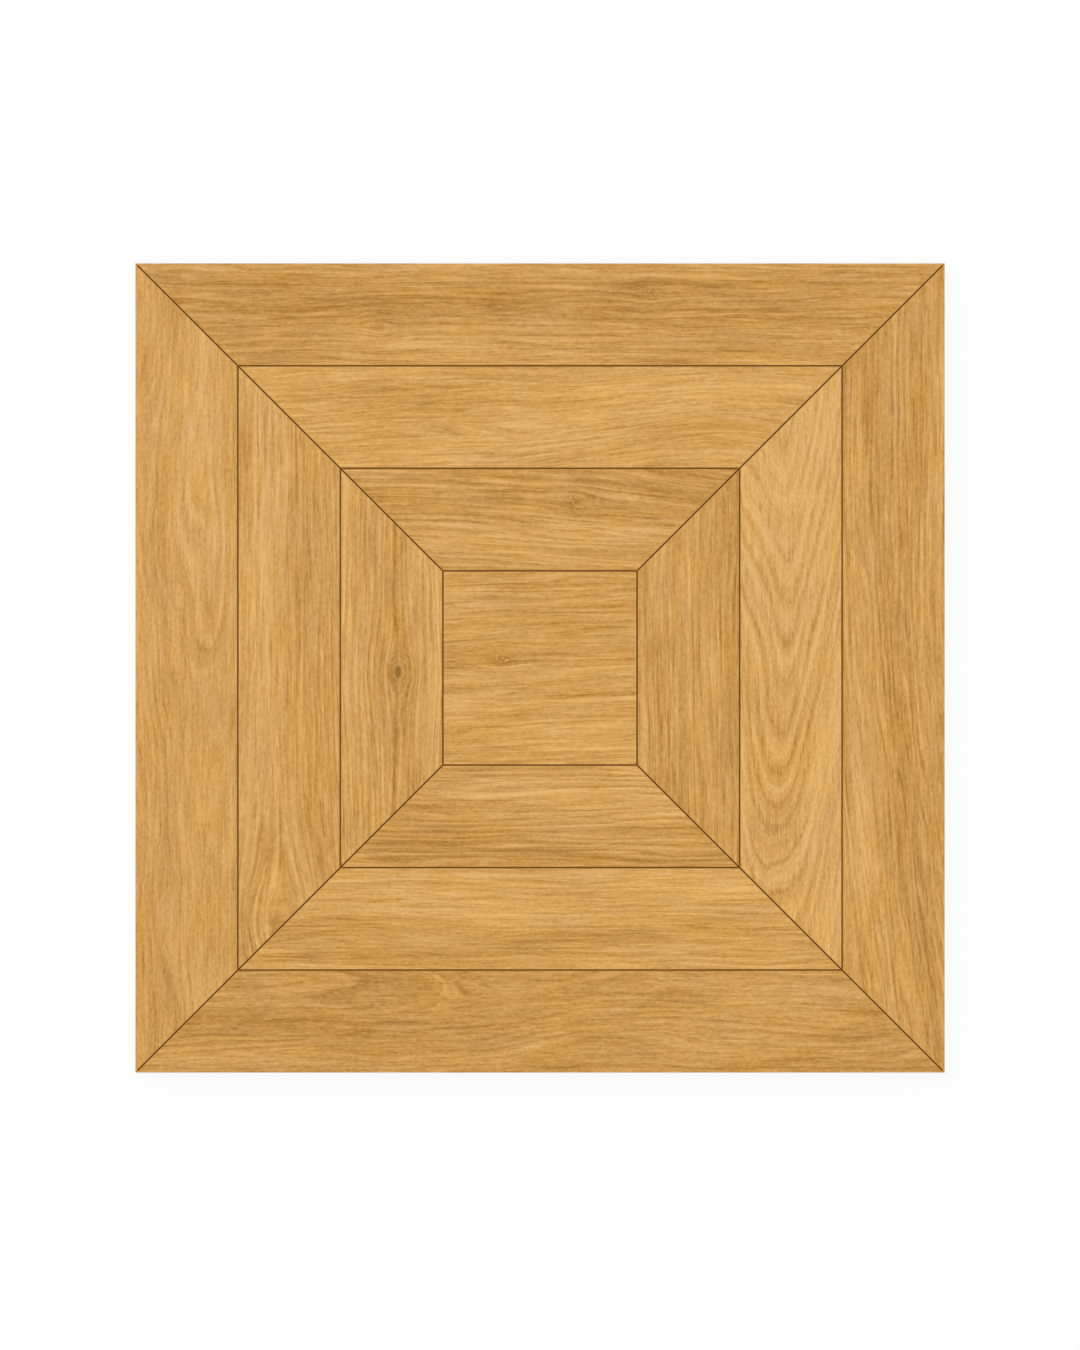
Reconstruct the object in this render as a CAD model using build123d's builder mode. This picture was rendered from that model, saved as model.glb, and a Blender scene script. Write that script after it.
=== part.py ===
"""Square parquet panel in solid oak: three mitred rings of staves around a centre square.

The staves are joined edge to edge by tongue and groove, and an open groove runs round
the panel for the loose tongues that lock it to its neighbours. The origin is the centre
of the underside and the show face looks up, along +Z. Millimetres throughout.
"""

import math
import os

from build123d import *

# The plan: one stave width for all three rings, around a square centre.
stave_width = 76.0
centre_side = 144.0
ring_names = ("inner", "middle", "outer")

# The thickness, in three layers: the foot under the groove, the groove, the wear layer over it.
foot_depth = 7.0
groove_height = 5.2
wear_depth = 7.8

# The edges: how deep the groove is cut, how far the foot stands back so that the face
# closes first, and the small bevel that makes a V along every joint of the face.
groove_depth = 6.0
foot_setback = 0.3
face_bevel = 0.5

# The tongue's clearance in its groove, over and under it and at its tip.
tongue_clearance = 0.1
tip_clearance = 0.5

# The end tongue in a mitre stops this far short of what crosses it at both its ends.
end_tongue_margin = 4.0

# A tongue grows out of the solid stave behind its shoulder, from this deep inside it.
tongue_root = 2.0

# Sizes that follow from those above.
tongue_bottom = foot_depth + tongue_clearance
tongue_thickness = groove_height - 2 * tongue_clearance
tongue_length = groove_depth - tip_clearance

# A setback measured square to a mitre is longer along the stave by this factor.
along_mitre = math.sqrt(2)

# Each side of a ring, and how far its stave is turned from the front one. The mitre at a
# front stave's right-hand end bisects the square corner there.
side_turns = {"front": 0, "right": 90, "back": 180, "left": 270}
mitre_turn = (side_turns["front"] - side_turns["right"]) / 2


def stave_corners(inner, outer, left_setback=0.0, right_setback=0.0):
    """Corners of a front stave in plan, between two distances from the panel's centre.

    Its ends follow the panel's diagonals, each cut back squarely by its own setback.
    """
    left_cut = left_setback * along_mitre
    right_cut = right_setback * along_mitre
    return [
        (left_cut - outer, -outer),
        (outer - right_cut, -outer),
        (inner - right_cut, -inner),
        (left_cut - inner, -inner),
    ]


def make_stave(name, inner, outer, turn):
    """A mitred stave with a groove along its outer edge and left end, a tongue along the others."""
    floor = Plane.XY.rotated((0, 0, turn))
    with BuildPart() as stave:
        # The foot, the waist between the grooves, and the wear layer
        with BuildSketch(floor):
            foot_inner = inner + foot_setback
            foot_outer = outer - foot_setback
            Polygon(*stave_corners(foot_inner, foot_outer, foot_setback, foot_setback), align=None)
        extrude(amount=foot_depth)
        with BuildSketch(floor.offset(foot_depth)):
            Polygon(*stave_corners(inner, outer - groove_depth, groove_depth), align=None)
        extrude(amount=groove_height)
        with BuildSketch(floor.offset(foot_depth + groove_height)):
            Polygon(*stave_corners(inner, outer), align=None)
        extrude(amount=wear_depth)
        chamfer(stave.faces().sort_by(Axis.Z)[-1].edges(), length=face_bevel)

        # The long tongue on the inner edge, and the short one on the right-hand mitre
        with BuildSketch(floor.offset(tongue_bottom)):
            tongue_tip = inner - tongue_length
            tongue_base = inner + tongue_root
            Polygon(*stave_corners(tongue_tip, tongue_base, groove_depth, tip_clearance), align=None)
            mitre_start = (inner + end_tongue_margin) * along_mitre
            mitre_end = (outer - groove_depth - end_tongue_margin) * along_mitre - tongue_length
            middle = (mitre_start + mitre_end) / 2 / along_mitre
            root = tongue_root / along_mitre
            with Locations((middle - root, -middle - root)):
                Rectangle(
                    mitre_end - mitre_start,
                    tongue_length + tongue_root,
                    rotation=mitre_turn,
                    align=(Align.CENTER, Align.MIN),
                )
        extrude(amount=tongue_thickness)
    save_piece(stave.part, name)


def make_centre(name):
    """The centre square, grooved on all four edges to take the inner ring's tongues."""
    with BuildPart() as centre:
        with BuildSketch():
            Rectangle(centre_side - 2 * foot_setback, centre_side - 2 * foot_setback)
        extrude(amount=foot_depth)
        with BuildSketch(Plane.XY.offset(foot_depth)):
            Rectangle(centre_side - 2 * groove_depth, centre_side - 2 * groove_depth)
        extrude(amount=groove_height)
        with BuildSketch(Plane.XY.offset(foot_depth + groove_height)):
            Rectangle(centre_side, centre_side)
        extrude(amount=wear_depth)
        chamfer(centre.faces().sort_by(Axis.Z)[-1].edges(), length=face_bevel)
    save_piece(centre.part, name)


def save_piece(piece, name):
    """Labels a finished piece and writes it to its own file."""
    piece.label = name
    export_step(piece, f"parts/{name}.step")


os.makedirs("parts", exist_ok=True)

make_centre("centre_square")
for ring, ring_name in enumerate(ring_names):
    ring_inner = centre_side / 2 + ring * stave_width
    for side_name, side_turn in side_turns.items():
        make_stave(f"{ring_name}_stave_{side_name}", ring_inner, ring_inner + stave_width, side_turn)
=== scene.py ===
import math

import bmesh
import bpy
from mathutils import Matrix, Vector


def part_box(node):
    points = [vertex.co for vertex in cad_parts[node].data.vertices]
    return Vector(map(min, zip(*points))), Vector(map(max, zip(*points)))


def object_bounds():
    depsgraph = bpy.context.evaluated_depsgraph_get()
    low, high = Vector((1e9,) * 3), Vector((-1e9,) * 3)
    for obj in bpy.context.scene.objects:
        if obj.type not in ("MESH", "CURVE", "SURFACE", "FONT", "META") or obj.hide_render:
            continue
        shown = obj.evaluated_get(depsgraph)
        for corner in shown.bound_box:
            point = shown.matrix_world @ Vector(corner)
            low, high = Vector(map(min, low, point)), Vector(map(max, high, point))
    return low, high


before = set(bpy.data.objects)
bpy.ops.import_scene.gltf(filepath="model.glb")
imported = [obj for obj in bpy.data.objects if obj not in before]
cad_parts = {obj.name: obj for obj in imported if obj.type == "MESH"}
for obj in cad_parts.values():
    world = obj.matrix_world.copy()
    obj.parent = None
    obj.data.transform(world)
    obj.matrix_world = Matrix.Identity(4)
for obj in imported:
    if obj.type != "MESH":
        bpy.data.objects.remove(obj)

cad_low, cad_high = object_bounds()

# The centre square
# A square of solid oak, planed, with its grain running from side to side. Its face is sanded and
# lacquered, and its edges and underside are left bare. The inner ring's tongues sit in the groove
# round its edges and hold it.

MM = 0.001
FACE = cad_high.z / MM
PANEL_HALF = cad_high.x / MM
CENTRE_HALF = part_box("centre_square")[1].x / MM
STAVE_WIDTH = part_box("inner_stave_right")[1].x / MM - CENTRE_HALF

# The oak's colours: pale, middle and dark wood under lacquer, warm and cool, then pale and dark bare
# wood, knots, and the dark brown painted shade in the joints.
WARM_OAK = ((0.842, 0.464, 0.120, 1.0), (0.651, 0.318, 0.054, 1.0), (0.413, 0.170, 0.009, 1.0))
COOL_OAK = ((0.710, 0.441, 0.180, 1.0), (0.557, 0.303, 0.090, 1.0), (0.359, 0.165, 0.023, 1.0))
PALE_RAW_OAK = (0.720, 0.520, 0.290, 1.0)
DARK_RAW_OAK = (0.430, 0.250, 0.100, 1.0)
KNOT_BROWN = (0.215, 0.100, 0.006, 1.0)
# Painted shade: the joints are painted this dark brown for the shade in the narrow gaps between pieces.
JOINT_SHADE_BROWN = (0.215, 0.084, 0.005, 1.0)

# How long, wide and deep each figure of the grain is, in millimetres.
BEND_SIZE = (150.0, 50.0, 50.0)
RIPPLE_SIZE = (160.0, 10.0, 10.0)
YEAR_FADE_SIZE = (80.0, 10.0, 40.0)
YEAR_LINE_SIZE = (180.0, 5.5, 40.0)
FINE_LINE_SIZE = (80.0, 2.4, 20.0)
PALE_LINE_SIZE = (120.0, 4.0, 30.0)
STREAK_SIZE = (380.0, 30.0, 60.0)
TINT_SIZE = (60.0, 14.0, 40.0)
FIBRE_SIZE = (26.0, 1.5, 1.5)
FLECK_SIZE = (3.4, 2.0, 2.0)
PORE_SIZE = (5.0, 0.8, 0.8)

# How much each figure darkens the wood, on a scale from 0 for pale oak to 1 for dark oak.
PLAIN_SHADE = 0.32
STREAK_WEIGHT = 1.4
FIBRE_WEIGHT = 0.9
FLECK_WEIGHT = 0.62
PORE_WEIGHT = 0.2
YEAR_LINE_WEIGHT = 0.16
FINE_LINE_WEIGHT = 0.18
PALE_LINE_WEIGHT = -0.2
# Partly wear and partly painted light: the wood is made paler along every edge, evening out the lamp's
# shading there.
WEAR_AND_PAINTED_LIGHT_WEIGHT = -0.07

# Where on that scale the palest colour lies, and how far the wood swings between warm and cool.
PALEST_SHADE = -0.12
TINT_WEIGHT = 1.25


def add_node(tree, kind, inputs=(), **settings):
    """A new node. Its inputs are given by name or place, as values or as other nodes' outputs."""
    made = tree.nodes.new(kind)
    for name, value in settings.items():
        setattr(made, name, value)
    for key, value in dict(inputs).items():
        if isinstance(value, bpy.types.NodeSocket):
            tree.links.new(value, made.inputs[key])
        else:
            made.inputs[key].default_value = value
    return made


def calc(tree, operation, *terms):
    """One step of arithmetic on numbers or on other nodes' outputs."""
    return add_node(tree, "ShaderNodeMath", enumerate(terms), operation=operation).outputs[0]


def calc_place(tree, operation, *terms):
    """One step of arithmetic on places or other vectors."""
    return add_node(tree, "ShaderNodeVectorMath", enumerate(terms), operation=operation).outputs[0]


def length_of(tree, place):
    """How far a place lies from the origin."""
    return add_node(tree, "ShaderNodeVectorMath", {0: place}, operation="LENGTH").outputs["Value"]


def steps_of(tree, place):
    """A place's steps along X, Y and Z."""
    return add_node(tree, "ShaderNodeSeparateXYZ", {0: place}).outputs


def make_place(tree, **steps):
    """A place made of its steps along X, Y and Z."""
    return add_node(tree, "ShaderNodeCombineXYZ", steps).outputs[0]


def soft_step(tree, value, low, high, start=0.0, end=1.0):
    """A smooth change from start to end as the value goes from low to high."""
    inputs = {"Value": value, "From Min": low, "From Max": high, "To Min": start, "To Max": end}
    return add_node(tree, "ShaderNodeMapRange", inputs, interpolation_type="SMOOTHSTEP").outputs[0]


def mix_colours(tree, share, first, second):
    """The first colour at a share of 0, the second at 1."""
    share_at, first_at, second_at, result_at = 0, 6, 7, 2
    inputs = {share_at: share, first_at: first, second_at: second}
    return add_node(tree, "ShaderNodeMix", inputs, data_type="RGBA").outputs[result_at]


def mix_numbers(tree, share, first, second):
    """The first number at a share of 0, the second at 1."""
    share_at, first_at, second_at, result_at = 0, 2, 3, 0
    inputs = {share_at: share, first_at: first, second_at: second}
    return add_node(tree, "ShaderNodeMix", inputs, data_type="FLOAT").outputs[result_at]


def grade_colours(tree, share, colours):
    """The first of three colours at a share of 0, the second halfway, the third at 1."""
    first, second, third = colours
    halfway = 0.5
    grades = add_node(tree, "ShaderNodeValToRGB", {"Fac": share})
    stops = grades.color_ramp.elements
    stops[0].color = first
    stops[1].color = third
    stops.new(halfway).color = second
    return grades.outputs["Color"]


def grain_noise(tree, place, size, detail=0.0, roughness=0.5):
    """Noise around 0, drawn out along the grain to figures of that length, width and depth."""
    noise_middle = 0.5
    stretched = calc_place(tree, "DIVIDE", place, size)
    inputs = {"Vector": stretched, "Scale": 1.0, "Detail": detail, "Roughness": roughness}
    noise = add_node(tree, "ShaderNodeTexNoise", inputs).outputs["Fac"]
    return calc(tree, "SUBTRACT", noise, noise_middle)


def grain_line(tree, place, size, half_width):
    """Thin lines, 1 along the middle and 0 between them, where a noise of that size is close to 0."""
    height = calc(tree, "ABSOLUTE", grain_noise(tree, place, size, detail=1.0))
    return soft_step(tree, height, 0.0, half_width, 1.0, 0.0)


def new_group(name, takes, gives):
    """An empty node group with those inputs and outputs, and the sockets at its two ends."""
    group = bpy.data.node_groups.new(name, "ShaderNodeTree")
    for socket_name, kind in takes.items():
        group.interface.new_socket(socket_name, in_out="INPUT", socket_type="NodeSocket" + kind)
    for socket_name, kind in gives.items():
        group.interface.new_socket(socket_name, in_out="OUTPUT", socket_type="NodeSocket" + kind)
    return group, group.nodes.new("NodeGroupInput").outputs, group.nodes.new("NodeGroupOutput").inputs


def make_knot_group():
    """Turns the grain aside around a knot, and draws the knot's own rings, dark heart and specks."""
    takes = {
        "Place": "Vector",
        "Shade": "Float",
        "Hearts": "Float",
        "Centre": "Vector",
        "Radius": "Float",
        "Heart": "Float",
        "Specks": "Float",
    }
    gives = {"Place": "Vector", "Shade": "Float", "Hearts": "Float"}
    group, given, result = new_group("oak_knot", takes, gives)
    stretch = 1.5
    turn_aside = -0.95
    heart_stretch = 1.9
    ring_pitch = 2.6
    ring_weight = 0.1
    halo_weight = 0.25
    dot_paleness = 0.2
    dot_end = 0.09
    heart_start = 0.05
    heart_end = 0.32
    speck_size = (1.7, 1.2, 1.2)
    speck_weight = 4.0
    speck_shade = 0.08

    # The grain is turned aside the more the closer it lies to the knot.
    steps = steps_of(group, calc_place(group, "SUBTRACT", given["Place"], given["Centre"]))
    along = calc(group, "DIVIDE", steps["X"], stretch)
    across = steps["Y"]
    squared = calc(group, "MULTIPLY_ADD", along, along, calc(group, "MULTIPLY", across, across))
    radius_squared = calc(group, "MULTIPLY", given["Radius"], given["Radius"])
    pull = calc(group, "DIVIDE", radius_squared, calc(group, "ADD", squared, radius_squared))
    aside = calc(group, "MULTIPLY", calc(group, "MULTIPLY", across, pull), turn_aside)
    group.links.new(calc_place(group, "ADD", given["Place"], make_place(group, Y=aside)), result["Place"])

    # The heart is a dark ring around a paler dot. A soft shade, thin rings and pale and dark specks fade
    # out around it.
    out = calc(group, "SQRT", squared)
    round_place = make_place(group, X=calc(group, "DIVIDE", steps["X"], heart_stretch), Y=across)
    share = calc(group, "DIVIDE", length_of(group, round_place), given["Radius"])
    dot = soft_step(group, share, 0.0, dot_end, dot_paleness, 1.0)
    heart = calc(group, "MULTIPLY", dot, soft_step(group, share, heart_start, heart_end, 1.0, 0.0))
    group.links.new(calc(group, "MULTIPLY_ADD", heart, given["Heart"], given["Hearts"]), result["Hearts"])
    wave = calc(group, "COSINE", calc(group, "MULTIPLY", out, math.tau / ring_pitch))
    shade = calc(group, "MULTIPLY", calc(group, "MULTIPLY", wave, ring_weight), pull)
    near = calc(group, "MULTIPLY", pull, pull)
    shade = calc(group, "MULTIPLY_ADD", near, halo_weight, shade)
    shade = calc(group, "MULTIPLY_ADD", shade, given["Heart"], given["Shade"])
    speck = calc(group, "ADD", grain_noise(group, given["Place"], speck_size, detail=1.0), speck_shade)
    specks = calc(group, "MULTIPLY", calc(group, "MULTIPLY", speck, speck_weight), given["Specks"])
    group.links.new(calc(group, "MULTIPLY_ADD", specks, near, shade), result["Shade"])
    return group


def make_patch_group():
    """Darkens or lightens a long soft patch of the wood."""
    takes = {"Place": "Vector", "Shade": "Float", "Centre": "Vector", "Size": "Vector", "Weight": "Float"}
    group, given, result = new_group("oak_patch", takes, {"Shade": "Float"})
    patch_end = 1.5
    apart = calc_place(group, "SUBTRACT", given["Place"], given["Centre"])
    reach = length_of(group, calc_place(group, "DIVIDE", apart, given["Size"]))
    cover = soft_step(group, reach, 0.0, patch_end, 1.0, 0.0)
    group.links.new(calc(group, "MULTIPLY_ADD", cover, given["Weight"], given["Shade"]), result["Shade"])
    return group


def make_grain_group():
    """Growth rings around a pith, the lines and streaks along them, and fibres, flecks and pores."""
    takes = {
        "Place": "Vector",
        "Seed": "Vector",
        "Pith Across": "Float",
        "Pith Depth": "Float",
        "Taper Start": "Float",
        "Taper End": "Float",
        "Taper": "Float",
        "Ring Width": "Float",
        "Ripple": "Float",
        "Wander": "Float",
        "Comb": "Float",
        "Early Peak": "Float",
        "Rings": "Float",
        "Lines": "Float",
        "Streaks": "Float",
        "Fibres": "Float",
        "Cool": "Float",
    }
    gives = {"Shade": "Float", "Tint": "Float", "Pores": "Float"}
    group, given, result = new_group("oak_grain", takes, gives)
    parts = steps_of(group, given["Place"])
    seeded = calc_place(group, "ADD", given["Place"], given["Seed"])

    # How far each point lies from the pith, in a trunk that wanders, tapers and ripples along the board.
    wander = calc(group, "MULTIPLY", grain_noise(group, seeded, BEND_SIZE, detail=1.0), given["Wander"])
    side = calc(group, "SUBTRACT", calc(group, "ADD", parts["Y"], wander), given["Pith Across"])
    down = calc(group, "ADD", calc(group, "ADD", parts["Z"], wander), given["Pith Depth"])
    from_pith = calc(
        group, "SQRT", calc(group, "MULTIPLY_ADD", side, side, calc(group, "MULTIPLY", down, down))
    )
    taper = soft_step(group, parts["X"], given["Taper Start"], given["Taper End"], 0.0, given["Taper"])
    ripple = grain_noise(group, seeded, RIPPLE_SIZE, detail=1.0)
    distance = calc(group, "MULTIPLY_ADD", ripple, given["Ripple"], calc(group, "ADD", from_pith, taper))

    # Each year's ring: early wood full of pores starts it with a dark edge, pale late wood ends it.
    # The fibres comb its edge, and every ring has a strength of its own, which comes and goes along it.
    early_end = 0.48
    late_start = 0.5
    late_peak = 0.8
    faintest_year = 0.45
    faded = 0.12
    fade_reach = 0.15
    year_step = 50.0
    fibre = grain_noise(group, seeded, FIBRE_SIZE, detail=2.0, roughness=0.7)
    combed = calc(group, "MULTIPLY_ADD", fibre, given["Comb"], distance)
    turns = calc(group, "DIVIDE", combed, given["Ring Width"])
    year = calc(group, "FRACT", turns)
    number = calc(group, "FLOOR", turns)
    own = add_node(group, "ShaderNodeTexWhiteNoise", {"W": number}, noise_dimensions="1D").outputs["Value"]
    own = calc(group, "MULTIPLY_ADD", own, 1.0 - faintest_year, faintest_year)
    year_place = make_place(group, X=parts["X"], Y=calc(group, "MULTIPLY", number, year_step), Z=parts["Z"])
    fade = grain_noise(group, calc_place(group, "ADD", year_place, given["Seed"]), YEAR_FADE_SIZE)
    strength = calc(group, "MULTIPLY", own, soft_step(group, fade, -fade_reach, fade_reach, faded, 1.0))
    early = calc(
        group,
        "MULTIPLY",
        soft_step(group, year, 0.0, given["Early Peak"]),
        soft_step(group, year, given["Early Peak"], early_end, 1.0, 0.0),
    )
    late = calc(
        group,
        "MULTIPLY",
        soft_step(group, year, late_start, late_peak),
        soft_step(group, year, late_peak, 1.0, 1.0, 0.0),
    )
    rings = calc(group, "MULTIPLY", calc(group, "SUBTRACT", early, late), strength)

    # Lines, streaks and the tint follow the rings.
    broad_line = 0.05
    thin_line = 0.07
    ring_place = make_place(group, X=parts["X"], Y=distance, Z=parts["Z"])
    ring_seeded = calc_place(group, "ADD", ring_place, given["Seed"])
    year_line = grain_line(group, ring_seeded, YEAR_LINE_SIZE, broad_line)
    lines = calc(group, "MULTIPLY", year_line, YEAR_LINE_WEIGHT)
    fine_line = grain_line(group, ring_seeded, FINE_LINE_SIZE, thin_line)
    lines = calc(group, "MULTIPLY_ADD", fine_line, FINE_LINE_WEIGHT, lines)
    pale_line = grain_line(group, ring_seeded, PALE_LINE_SIZE, broad_line)
    lines = calc(group, "MULTIPLY_ADD", pale_line, PALE_LINE_WEIGHT, lines)
    streak = grain_noise(group, ring_seeded, STREAK_SIZE, detail=3.5, roughness=0.85)
    tint = grain_noise(group, ring_seeded, TINT_SIZE, detail=2.5, roughness=0.75)

    # Flecks and pores follow the board's length, as its fibres do. The pores are most open in the early
    # wood.
    open_pore = 0.2
    closed_share = 0.3
    fleck = grain_noise(group, seeded, FLECK_SIZE, detail=1.0)
    dash = grain_noise(group, seeded, PORE_SIZE, detail=1.0, roughness=0.6)
    openness = calc(group, "MULTIPLY_ADD", early, 1.0 - closed_share, closed_share)
    pores = calc(group, "MULTIPLY", soft_step(group, dash, 0.0, open_pore), openness)

    fine = calc(group, "MULTIPLY", fibre, FIBRE_WEIGHT)
    fine = calc(group, "MULTIPLY_ADD", fleck, FLECK_WEIGHT, fine)
    fine = calc(group, "MULTIPLY_ADD", pores, PORE_WEIGHT, fine)
    shade = calc(group, "MULTIPLY", calc(group, "MULTIPLY", streak, STREAK_WEIGHT), given["Streaks"])
    shade = calc(group, "MULTIPLY_ADD", fine, given["Fibres"], shade)
    shade = calc(group, "MULTIPLY_ADD", lines, given["Lines"], shade)
    shade = calc(group, "MULTIPLY_ADD", rings, given["Rings"], shade)
    group.links.new(calc(group, "ADD", shade, PLAIN_SHADE), result["Shade"])
    group.links.new(calc(group, "MULTIPLY_ADD", tint, TINT_WEIGHT, given["Cool"]), result["Tint"])
    group.links.new(dash, result["Pores"])
    return group


def make_edge_group():
    """Painted shade where the face meets a joint, and edges paler from wear and painted light."""
    gives = {"Joint Shade": "Float", "Wear And Painted Light": "Float"}
    group, given, result = new_group("panel_edges", {"Place": "Vector"}, gives)
    half_stave = 0.5
    joint_shade_start = 0.35
    joint_shade_end = 1.05
    rim_start = 1.0
    rim_end = 1.5
    wear_and_light_end = 2.6
    where = steps_of(group, calc_place(group, "DIVIDE", given["Place"], (MM, MM, MM)))

    # The nearest joint of a ring, or the nearest mitre, which the centre square doesn't have
    x_size = calc(group, "ABSOLUTE", where["X"])
    y_size = calc(group, "ABSOLUTE", where["Y"])
    out = calc(group, "MAXIMUM", x_size, y_size)
    ring = calc(group, "DIVIDE", calc(group, "SUBTRACT", out, CENTRE_HALF), STAVE_WIDTH)
    to_edge = calc(group, "MULTIPLY", calc(group, "PINGPONG", ring, half_stave), STAVE_WIDTH)
    off_diagonal = calc(group, "ABSOLUTE", calc(group, "SUBTRACT", x_size, y_size))
    to_mitre = calc(group, "DIVIDE", off_diagonal, math.sqrt(2))
    in_centre = calc(group, "MULTIPLY", calc(group, "LESS_THAN", out, CENTRE_HALF), STAVE_WIDTH)
    nearest = calc(group, "MINIMUM", to_edge, calc(group, "ADD", to_mitre, in_centre))

    # The panel's outer rim is no joint and has no painted shade. The paler band of wear and painted light
    # reaches further in than the painted shade does.
    to_rim = calc(group, "SUBTRACT", PANEL_HALF, out)
    joint_shade = soft_step(group, nearest, joint_shade_start, joint_shade_end, 1.0, 0.0)
    inside = soft_step(group, to_rim, rim_start, rim_end)
    group.links.new(calc(group, "MULTIPLY", joint_shade, inside), result["Joint Shade"])
    group.links.new(soft_step(group, nearest, 0.0, wear_and_light_end, 1.0, 0.0), result["Wear And Painted Light"])
    return group


knot_group = make_knot_group()
patch_group = make_patch_group()
grain_group = make_grain_group()
edge_group = make_edge_group()


def lacquered_oak(
    name,
    middle,
    along,
    seed,
    pith,
    taper=(-PANEL_HALF, PANEL_HALF, 0.0),
    lean=0.0,
    ring=5.0,
    ripple=9.0,
    wander=8.0,
    comb=1.5,
    early_peak=0.12,
    rings=0.2,
    lines=1.0,
    streaks=1.0,
    fibres=1.0,
    cool=0.5,
    knots=(),
    patches=(),
    darker=0.0,
):
    """Oak for one piece, in solid wood: its face lacquered, painted shade in the joints, the rest bare.

    Places are in millimetres from the middle of its face, first along its grain and then across. The
    pith says how far across and how deep the trunk's heart lies, and the taper from where to where the
    trunk narrows, and by how much. A ring is one year's width. The lean turns the grain, and ripple,
    wander and comb bend the rings. Early peak is where in its year a ring is darkest. The others weigh
    what is drawn on the wood, and darker shades the whole piece.
    """
    material = bpy.data.materials.new(name)
    material.use_nodes = True
    tree = material.node_tree
    shader = tree.nodes["Principled BSDF"]

    # Millimetres from the middle of the piece's face, turned so that X follows the grain.
    seed_step = Vector((1310.0, 173.0, 97.0))
    quarter_turn = math.pi / 2
    panel = add_node(tree, "ShaderNodeTexCoord").outputs["Object"]
    turn = -lean if along == "x" else -quarter_turn - lean
    centre = Matrix.Rotation(turn, 3, "Z") @ Vector((*middle, FACE))
    place = add_node(
        tree,
        "ShaderNodeMapping",
        {"Vector": panel, "Scale": (1 / MM,) * 3, "Rotation": (0.0, 0.0, turn), "Location": -centre},
    ).outputs[0]

    # Knots and patches, then the grain that flows around them. A knot without heart and specks lies
    # below the face and only bends the grain.
    straight = place
    shade = darker
    hearts = 0.0
    for knot in knots:
        figure = add_node(
            tree,
            "ShaderNodeGroup",
            {
                "Place": place,
                "Shade": shade,
                "Hearts": hearts,
                "Centre": (*knot["at"], 0.0),
                "Radius": knot["radius"],
                "Heart": knot["heart"],
                "Specks": knot["specks"],
            },
            node_tree=knot_group,
        ).outputs
        place, shade, hearts = figure["Place"], figure["Shade"], figure["Hearts"]
    for patch in patches:
        length, width = patch["size"]
        shade = add_node(
            tree,
            "ShaderNodeGroup",
            {
                "Place": straight,
                "Shade": shade,
                "Centre": (*patch["at"], 0.0),
                "Size": (length / 2, width / 2, length / 2),
                "Weight": patch["darker"],
            },
            node_tree=patch_group,
        ).outputs["Shade"]
    grain = add_node(
        tree,
        "ShaderNodeGroup",
        {
            "Place": place,
            "Seed": seed * seed_step,
            "Pith Across": pith[0],
            "Pith Depth": pith[1],
            "Taper Start": taper[0],
            "Taper End": taper[1],
            "Taper": taper[2],
            "Ring Width": ring,
            "Ripple": ripple,
            "Wander": wander,
            "Comb": comb,
            "Early Peak": early_peak,
            "Rings": rings,
            "Lines": lines,
            "Streaks": streaks,
            "Fibres": fibres,
            "Cool": cool,
        },
        node_tree=grain_group,
    ).outputs
    edges = add_node(tree, "ShaderNodeGroup", {"Place": panel}, node_tree=edge_group).outputs
    darkness = calc(tree, "ADD", grain["Shade"], shade)

    # The finish: bare wood below the bevels, lacquered wood on the face, paler along its edges from wear
    # and painted light, and painted shade in the joints.
    lacquer_depth = 0.55
    lacquer_run = 0.25
    finish_end = FACE - lacquer_depth
    finish_start = finish_end - lacquer_run
    raw_roughness = 0.75
    gloss_roughness = 0.42
    pore_roughness = 0.3
    gloss_level = 0.3
    pore_depth = 0.08
    raw = mix_colours(tree, darkness, PALE_RAW_OAK, DARK_RAW_OAK)
    # Paler along the edges, partly from wear and partly as painted light.
    worn_and_lit = calc(tree, "MULTIPLY_ADD", edges["Wear And Painted Light"], WEAR_AND_PAINTED_LIGHT_WEIGHT, darkness)
    grade = calc(tree, "DIVIDE", calc(tree, "SUBTRACT", worn_and_lit, PALEST_SHADE), 1.0 - PALEST_SHADE)
    warm = grade_colours(tree, grade, WARM_OAK)
    cool = grade_colours(tree, grade, COOL_OAK)
    wood = mix_colours(tree, grain["Tint"], warm, cool)
    if knots:
        wood = mix_colours(tree, hearts, wood, KNOT_BROWN)
    # Painted shade: the joints are painted dark brown, for the shade in the gaps between the pieces.
    face = mix_colours(tree, edges["Joint Shade"], wood, JOINT_SHADE_BROWN)
    on_face = soft_step(tree, steps_of(tree, panel)["Z"], finish_start * MM, finish_end * MM)
    tree.links.new(mix_colours(tree, on_face, raw, face), shader.inputs["Base Color"])
    gloss = calc(tree, "MULTIPLY_ADD", grain["Pores"], pore_roughness, gloss_roughness)
    tree.links.new(mix_numbers(tree, on_face, raw_roughness, gloss), shader.inputs["Roughness"])
    shader.inputs["Specular IOR Level"].default_value = gloss_level
    sunk = {"Height": grain["Pores"], "Distance": pore_depth * MM, "Strength": 1.0}
    bump = add_node(tree, "ShaderNodeBump", sunk, invert=True)
    tree.links.new(bump.outputs[0], shader.inputs["Normal"])
    return material


def dress(node_name, middle, **wood):
    """Gives a piece its own oak."""
    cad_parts[node_name].material_slots[0].material = lacquered_oak(node_name + "_oak", middle, **wood)


dress(
    "centre_square",
    middle=(0.0, 0.0),
    along="x",
    seed=17,
    pith=(150.0, 60.0),
    lean=0.03,
    streaks=0.9,
    cool=0.42,
    knots=[dict(at=(-28.0, 7.0), radius=5.0, heart=0.1, specks=0.8)],
    darker=-0.02,
)

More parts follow.
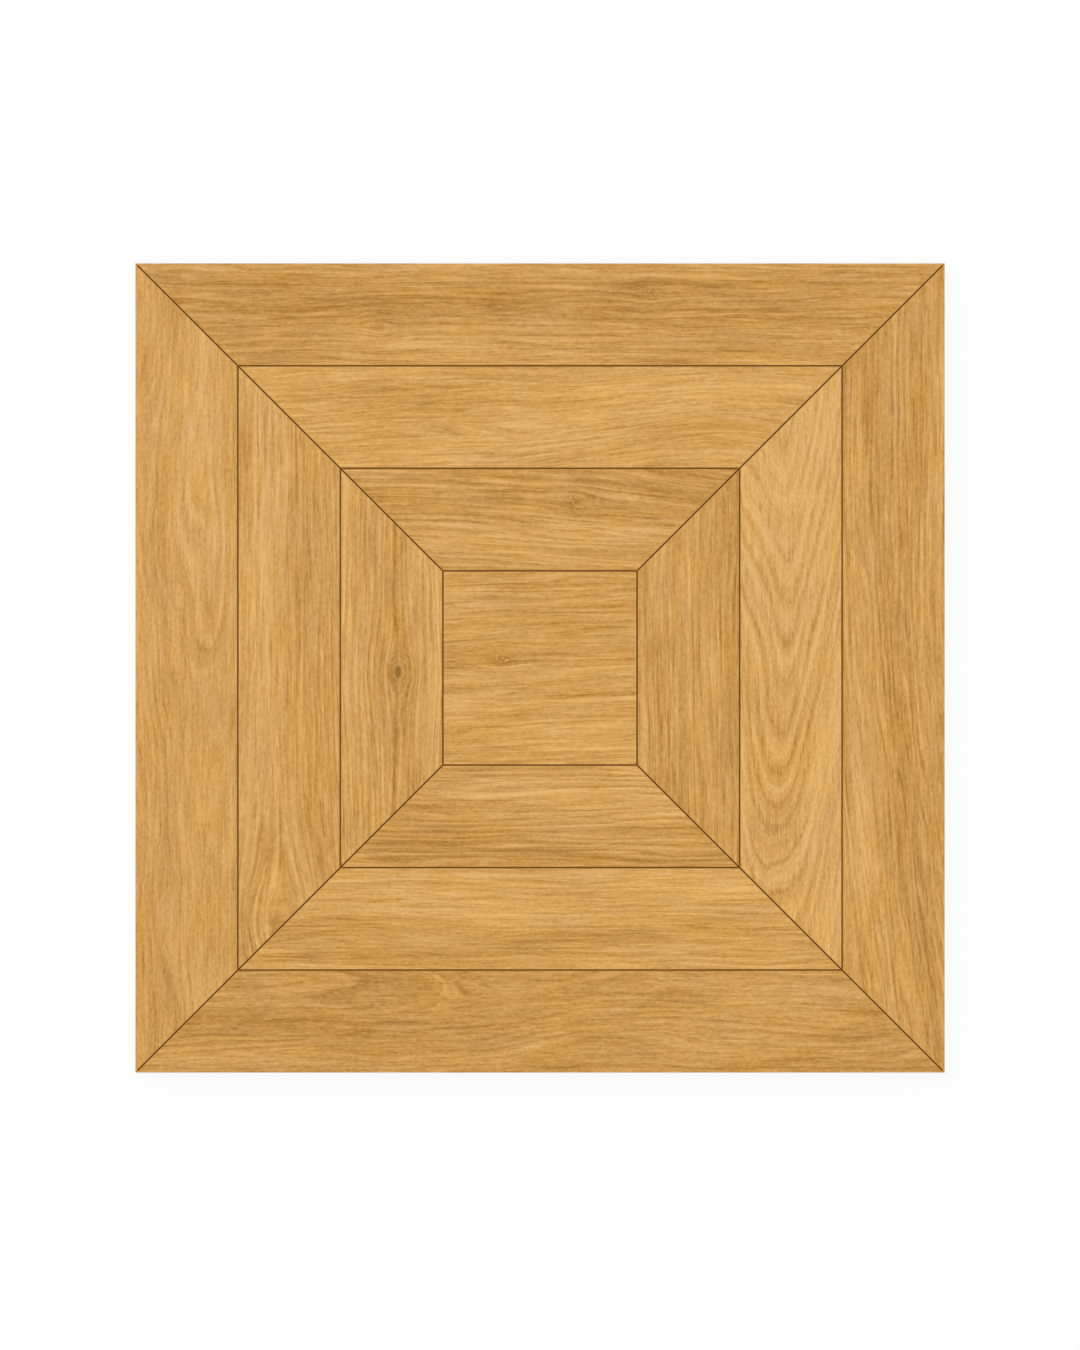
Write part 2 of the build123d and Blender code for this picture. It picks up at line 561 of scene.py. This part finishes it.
# The inner ring
# Four mitred staves of solid oak, each with its grain along its length. Each has a tongue on its inner
# edge that goes into the centre square, and they meet at the corners with a tongue in each mitre.

INNER_MIDDLE = CENTRE_HALF + STAVE_WIDTH / 2

dress(
    "inner_stave_front",
    middle=(0.0, -INNER_MIDDLE),
    along="x",
    seed=18,
    pith=(-290.0, 60.0),
    rings=0.36,
    patches=[
        dict(at=(0.0, -26.0), size=(300.0, 28.0), darker=0.12),
        dict(at=(-95.0, -24.0), size=(110.0, 20.0), darker=0.1),
        dict(at=(20.0, 16.0), size=(190.0, 36.0), darker=-0.1),
        dict(at=(95.0, -3.0), size=(70.0, 12.0), darker=0.1),
    ],
    darker=0.083,
)
dress(
    "inner_stave_right",
    middle=(INNER_MIDDLE, 0.0),
    along="y",
    seed=21,
    pith=(-290.0, 60.0),
    patches=[
        dict(at=(-55.0, -18.0), size=(90.0, 14.0), darker=0.14),
        dict(at=(50.0, -8.0), size=(70.0, 10.0), darker=0.1),
    ],
    darker=0.085,
)
dress(
    "inner_stave_back",
    middle=(0.0, INNER_MIDDLE),
    along="x",
    seed=19,
    pith=(140.0, 60.0),
    rings=0.3,
    streaks=0.9,
    knots=[
        dict(at=(27.0, 13.0), radius=7.0, heart=0.4, specks=0.5),
        dict(at=(150.0, 70.0), radius=40.0, heart=0.0, specks=0.0),
    ],
    patches=[
        dict(at=(27.0, 13.0), size=(90.0, 11.0), darker=0.12),
        dict(at=(-70.0, 18.0), size=(120.0, 20.0), darker=0.08),
        dict(at=(0.0, -22.0), size=(170.0, 30.0), darker=-0.06),
        dict(at=(-45.0, 30.0), size=(60.0, 8.0), darker=0.1),
        dict(at=(15.0, -7.0), size=(70.0, 8.0), darker=0.08),
    ],
    darker=0.11,
)
dress(
    "inner_stave_left",
    middle=(-INNER_MIDDLE, 0.0),
    along="y",
    seed=47,
    pith=(150.0, 60.0),
    ring=4.4,
    rings=0.3,
    knots=[dict(at=(-3.0, -5.0), radius=11.0, heart=1.0, specks=0.1)],
    patches=[
        dict(at=(92.0, 17.0), size=(70.0, 12.0), darker=0.14),
        dict(at=(0.0, -32.0), size=(150.0, 12.0), darker=-0.08),
        dict(at=(60.0, 31.0), size=(200.0, 10.0), darker=-0.12),
        dict(at=(-73.0, -23.0), size=(50.0, 14.0), darker=-0.1),
    ],
    darker=-0.005,
)

# The middle ring
# Four more mitred staves of solid oak, of the same width: three cut close to the quarter, with straight
# grain, and one flat-sawn, with nested arches. Their tongues go into the inner ring.

MIDDLE_MIDDLE = INNER_MIDDLE + STAVE_WIDTH

dress(
    "middle_stave_front",
    middle=(0.0, -MIDDLE_MIDDLE),
    along="x",
    seed=42,
    pith=(-214.0, 60.0),
    cool=0.42,
    patches=[
        dict(at=(110.0, 17.0), size=(120.0, 18.0), darker=-0.14),
        dict(at=(-60.0, 18.0), size=(180.0, 20.0), darker=-0.08),
        dict(at=(40.0, 27.0), size=(120.0, 12.0), darker=-0.12),
        dict(at=(-157.0, -1.0), size=(70.0, 8.0), darker=0.16),
        dict(at=(50.0, -9.0), size=(130.0, 10.0), darker=0.18),
        dict(at=(165.0, -10.0), size=(80.0, 12.0), darker=0.12),
        dict(at=(-110.0, -22.0), size=(170.0, 10.0), darker=-0.12),
        dict(at=(-195.0, -30.0), size=(60.0, 10.0), darker=0.18),
    ],
    darker=0.01,
)
dress(
    "middle_stave_right",
    middle=(MIDDLE_MIDDLE, 0.0),
    along="y",
    seed=14,
    pith=(7.0, 22.0),
    taper=(400.0, -400.0, 90.0),
    ring=4.8,
    ripple=3.5,
    wander=14.0,
    comb=3.0,
    early_peak=0.24,
    rings=0.29,
    lines=0.6,
    streaks=0.9,
    fibres=1.15,
    darker=-0.175,
)
dress(
    "middle_stave_back",
    middle=(0.0, MIDDLE_MIDDLE),
    along="x",
    seed=39,
    pith=(-190.0, 60.0),
    wander=14.0,
    rings=0.16,
    streaks=0.92,
    cool=0.4,
    knots=[dict(at=(140.0, -75.0), radius=50.0, heart=0.0, specks=0.0)],
    patches=[
        dict(at=(-115.0, 14.0), size=(60.0, 18.0), darker=0.08),
        dict(at=(-25.0, -8.0), size=(130.0, 44.0), darker=-0.06),
        dict(at=(120.0, -13.0), size=(120.0, 12.0), darker=-0.16),
        dict(at=(170.0, 28.0), size=(90.0, 10.0), darker=0.08),
    ],
    darker=-0.045,
)
dress(
    "middle_stave_left",
    middle=(-MIDDLE_MIDDLE, 0.0),
    along="y",
    seed=15,
    pith=(214.0, 60.0),
    wander=12.0,
    rings=0.25,
    knots=[dict(at=(-185.0, 6.0), radius=28.0, heart=0.0, specks=0.0)],
    patches=[
        dict(at=(20.0, -24.0), size=(330.0, 36.0), darker=0.05),
        dict(at=(140.0, 14.0), size=(120.0, 14.0), darker=0.08),
        dict(at=(-135.0, -10.0), size=(70.0, 10.0), darker=0.12),
        dict(at=(-100.0, 14.0), size=(120.0, 14.0), darker=-0.12),
    ],
    darker=0.01,
)

# The outer ring
# The longest four mitred staves of solid oak. Their tongues go into the middle ring, and the groove
# along their bare outer edges takes the loose tongues that lock the panel to the ones beside it.

OUTER_MIDDLE = MIDDLE_MIDDLE + STAVE_WIDTH

dress(
    "outer_stave_front",
    middle=(0.0, -OUTER_MIDDLE),
    along="x",
    seed=5,
    pith=(26.0, 7.0),
    taper=(-150.0, 60.0, 14.0),
    ring=5.5,
    ripple=7.0,
    wander=44.0,
    comb=3.0,
    early_peak=0.2,
    lines=0.6,
    fibres=1.1,
    patches=[
        dict(at=(170.0, 18.0), size=(130.0, 34.0), darker=-0.08),
        dict(at=(-150.0, -15.0), size=(130.0, 18.0), darker=0.07),
        dict(at=(95.0, 18.0), size=(50.0, 14.0), darker=0.2),
        dict(at=(-140.0, 33.0), size=(140.0, 10.0), darker=0.05),
        dict(at=(235.0, 2.0), size=(70.0, 20.0), darker=0.12),
    ],
    darker=0.175,
)
dress(
    "outer_stave_right",
    middle=(OUTER_MIDDLE, 0.0),
    along="y",
    seed=29,
    pith=(-238.0, 60.0),
    taper=(133.0, -733.0, 84.0),
    ring=4.8,
    rings=0.27,
    streaks=0.88,
    patches=[
        dict(at=(-130.0, 26.0), size=(180.0, 24.0), darker=-0.12),
        dict(at=(167.0, -18.0), size=(120.0, 14.0), darker=0.1),
        dict(at=(10.0, 18.0), size=(90.0, 12.0), darker=0.1),
        dict(at=(10.0, -6.0), size=(150.0, 14.0), darker=-0.12),
        dict(at=(110.0, 28.0), size=(90.0, 10.0), darker=-0.12),
        dict(at=(-50.0, -18.0), size=(110.0, 14.0), darker=-0.1),
    ],
    darker=0.1,
)
dress(
    "outer_stave_back",
    middle=(0.0, OUTER_MIDDLE),
    along="x",
    seed=33,
    pith=(238.0, 60.0),
    ring=6.0,
    streaks=0.88,
    knots=[
        dict(at=(80.0, 17.0), radius=6.0, heart=0.25, specks=0.9),
        dict(at=(-119.0, -9.0), radius=6.0, heart=0.15, specks=0.3),
    ],
    patches=[
        dict(at=(-190.0, 5.0), size=(220.0, 76.0), darker=0.08),
        dict(at=(-75.0, -24.0), size=(110.0, 14.0), darker=-0.06),
    ],
    darker=0.12,
)
dress(
    "outer_stave_left",
    middle=(-OUTER_MIDDLE, 0.0),
    along="y",
    seed=2,
    pith=(-14.0, 8.0),
    taper=(110.0, -120.0, 14.0),
    ring=6.0,
    ripple=7.0,
    wander=40.0,
    comb=3.0,
    early_peak=0.2,
    rings=0.16,
    lines=0.6,
    streaks=0.85,
    fibres=1.1,
    patches=[
        dict(at=(200.0, 14.0), size=(150.0, 12.0), darker=-0.16),
        dict(at=(225.0, 31.0), size=(140.0, 8.0), darker=0.12),
        dict(at=(139.0, 16.0), size=(60.0, 6.0), darker=0.1),
        dict(at=(10.0, -12.0), size=(40.0, 10.0), darker=0.1),
        dict(at=(60.0, -34.0), size=(170.0, 10.0), darker=-0.1),
        dict(at=(-40.0, 20.0), size=(120.0, 14.0), darker=0.1),
        dict(at=(-227.0, -9.0), size=(70.0, 14.0), darker=-0.1),
    ],
    darker=0.012,
)

# The floor
# A plain sheet of white paper, which the panel lies on. Seen directly it is white, and a little of the
# panel's shadow stays on it. Where the panel covers it, it doesn't shine up through the joints.

FLOOR_HALF = 8000.0
FLOOR_WHITE = (0.95, 0.95, 0.95, 1.0)
BACKGROUND_WHITE = (1.0, 1.0, 1.0, 1.0)
BACKGROUND_SHARE = 0.9


def seen_directly(tree):
    """1 where the camera sees a surface, also in a reflection or through glass, and 0 for its light."""
    light_path = add_node(tree, "ShaderNodeLightPath").outputs
    seen = calc(tree, "MAXIMUM", light_path["Is Camera Ray"], light_path["Is Glossy Ray"])
    return calc(tree, "MAXIMUM", seen, light_path["Is Transmission Ray"])


floor_mesh = bpy.data.meshes.new("floor")
floor_shape = bmesh.new()
bmesh.ops.create_grid(floor_shape, x_segments=1, y_segments=1, size=FLOOR_HALF * MM)
floor_shape.to_mesh(floor_mesh)
floor_shape.free()
floor = bpy.data.objects.new("floor", floor_mesh)
bpy.context.scene.collection.objects.link(floor)
paper = bpy.data.materials.new("floor_paper")
paper.use_nodes = True
paper_tree = paper.node_tree
paper_tree.nodes.clear()
seen = seen_directly(paper_tree)
matt = add_node(paper_tree, "ShaderNodeBsdfDiffuse", {"Color": FLOOR_WHITE}).outputs[0]
glow = add_node(paper_tree, "ShaderNodeEmission", {"Color": BACKGROUND_WHITE, "Strength": 1.0}).outputs[0]
where = steps_of(paper_tree, add_node(paper_tree, "ShaderNodeTexCoord").outputs["Object"])
x_size = calc(paper_tree, "ABSOLUTE", where["X"])
y_size = calc(paper_tree, "ABSOLUTE", where["Y"])
uncovered = calc(paper_tree, "GREATER_THAN", calc(paper_tree, "MAXIMUM", x_size, y_size), PANEL_HALF * MM)
glow_share = calc(paper_tree, "MULTIPLY", calc(paper_tree, "MULTIPLY", seen, uncovered), BACKGROUND_SHARE)
surface = add_node(paper_tree, "ShaderNodeMixShader", {0: glow_share, 1: matt, 2: glow}).outputs[0]
add_node(paper_tree, "ShaderNodeOutputMaterial", {"Surface": surface})
floor_mesh.materials.append(paper)

# The light
# An even white studio all round gives most of the light, and a large soft lamp high up at the back left
# gives the rest. Together they light the face at 1, so that its colours come out as written.

WORLD_STRENGTH = 0.75
KEY_SHARE = 0.25
KEY_TILT = math.radians(40.0)
KEY_TURN = math.radians(45.0)
KEY_SOFTNESS = math.radians(40.0)

world = bpy.data.worlds.new("studio")
world.use_nodes = True
sky = world.node_tree.nodes["Background"]
sky.inputs["Color"].default_value = BACKGROUND_WHITE
seen = seen_directly(world.node_tree)
strength = calc(world.node_tree, "MULTIPLY_ADD", seen, 1.0 - WORLD_STRENGTH, WORLD_STRENGTH)
world.node_tree.links.new(strength, sky.inputs["Strength"])
bpy.context.scene.world = world
key_light = bpy.data.lights.new("key", "SUN")
key_light.energy = KEY_SHARE * math.pi / math.cos(KEY_TILT)
key_light.angle = KEY_SOFTNESS
key = bpy.data.objects.new("key", key_light)
key.rotation_euler = (-KEY_TILT, 0.0, KEY_TURN)
bpy.context.scene.collection.objects.link(key)

# The camera
# It looks straight down on the face with a long lens, from so high that the panel comes out as wide as
# in the photo, and from a little to the front of its middle.

# The photo's sizes are in its pixels, the lens and sensor in millimetres, the reach in metres.
PHOTO_HEIGHT = 1350.0
PHOTO_PANEL_SIDE = 809.35
PHOTO_PANEL_DROP = -7.04
LENS = 135.0
SENSOR = 36.0
CAMERA_REACH = 100.0

photo_pixel = (cad_high.x - cad_low.x) / PHOTO_PANEL_SIDE
camera_data = bpy.data.cameras.new("camera")
camera_data.lens = LENS
camera_data.sensor_width = SENSOR
camera_data.clip_end = CAMERA_REACH
camera = bpy.data.objects.new("camera", camera_data)
camera.location = (
    0.0,
    PHOTO_PANEL_DROP * photo_pixel,
    cad_high.z + PHOTO_HEIGHT * photo_pixel * LENS / SENSOR,
)
bpy.context.scene.collection.objects.link(camera)
bpy.context.scene.camera = camera
bpy.context.scene.view_settings.view_transform = "Standard"
